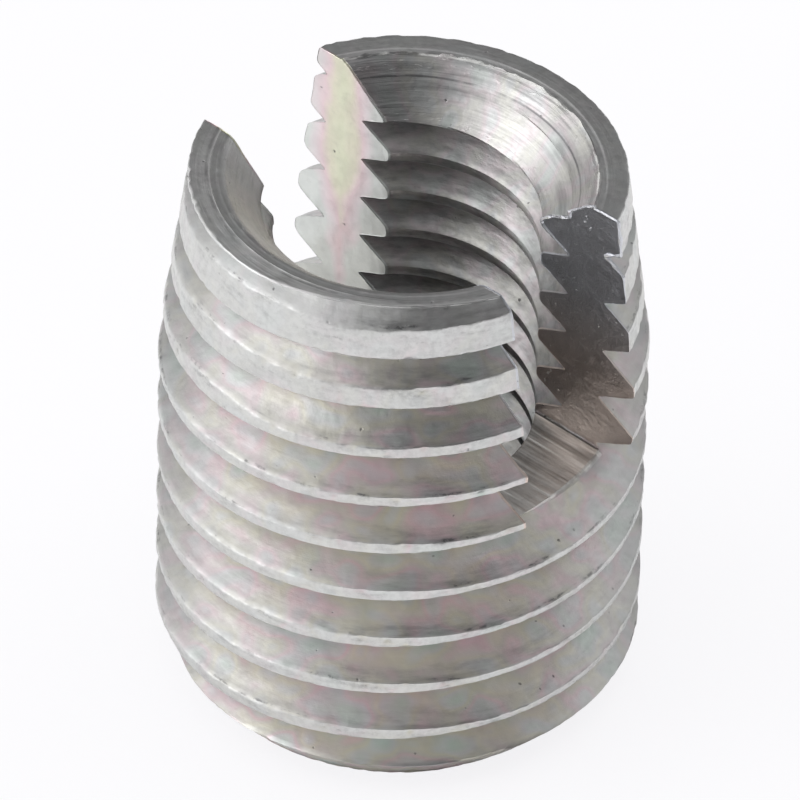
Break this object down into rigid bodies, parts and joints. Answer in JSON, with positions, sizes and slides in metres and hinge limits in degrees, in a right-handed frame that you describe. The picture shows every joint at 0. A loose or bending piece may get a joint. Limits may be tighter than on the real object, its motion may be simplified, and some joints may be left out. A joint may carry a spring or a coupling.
{
  "type": "threaded insert",
  "caption": "Self-tapping threaded insert: short turned tube with a coarse outside thread, a finer inside thread, a wide countersink and a saw slot across one end.",
  "frame": {"origin": "on the axis, in the plane of the flat un-slotted end that the insert stands on", "axes": "+Z along the axis towards the slotted rim; +X along the saw slot; +Y across the slot, towards the wall that the slot leaves a little thinner"},
  "size_m": [0.008, 0.008, 0.01],
  "materials": {
    "plated_steel": "bright zinc plate over turned steel, with a faint iridescent passivation"
  },
  "bodies": {
    "root": {"insert": "plated_steel"}
  },
  "joints": []
}
